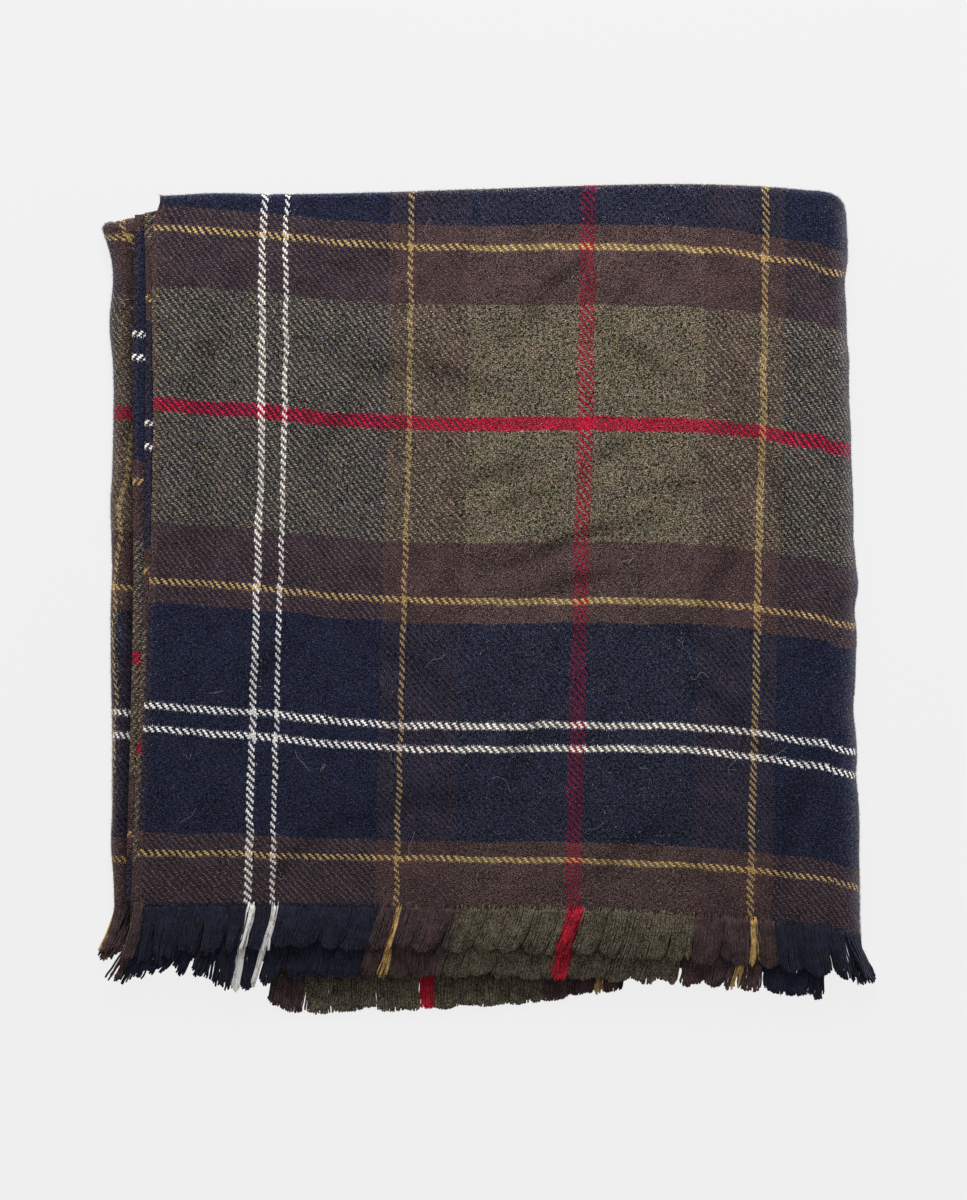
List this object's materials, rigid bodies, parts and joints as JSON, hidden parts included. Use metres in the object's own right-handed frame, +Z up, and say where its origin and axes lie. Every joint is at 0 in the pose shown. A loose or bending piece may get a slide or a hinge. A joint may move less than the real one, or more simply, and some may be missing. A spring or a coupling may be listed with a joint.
{
  "type": "folded fringed cape",
  "caption": "Brushed tartan cape folded into a flat square bundle, with rounded folds along the top and sides and cut fringe along the bottom edge.",
  "frame": {"origin": "middle of the folded bundle's bounding box, on the surface it rests on", "axes": "+X to the right across the bundle, towards the large rolled fold; +Y from the fringe towards the top folds; +Z up, out of the front panel"},
  "size_m": [0.3703, 0.3991, 0.0291],
  "materials": {
    "tartan": "brushed two-and-two twill in navy, olive and brown with white, gold and red lines",
    "fringe": "soft cut warp yarn ends in the colours of the warp stripes"
  },
  "bodies": {
    "root": {"front_panel": "tartan", "second_ply": "tartan", "third_ply": "tartan", "back_panel": "tartan", "hidden_layers": "tartan", "front_fringe": "fringe", "second_fringe": "fringe", "third_fringe": "fringe", "back_fringe": "fringe"}
  },
  "joints": []
}
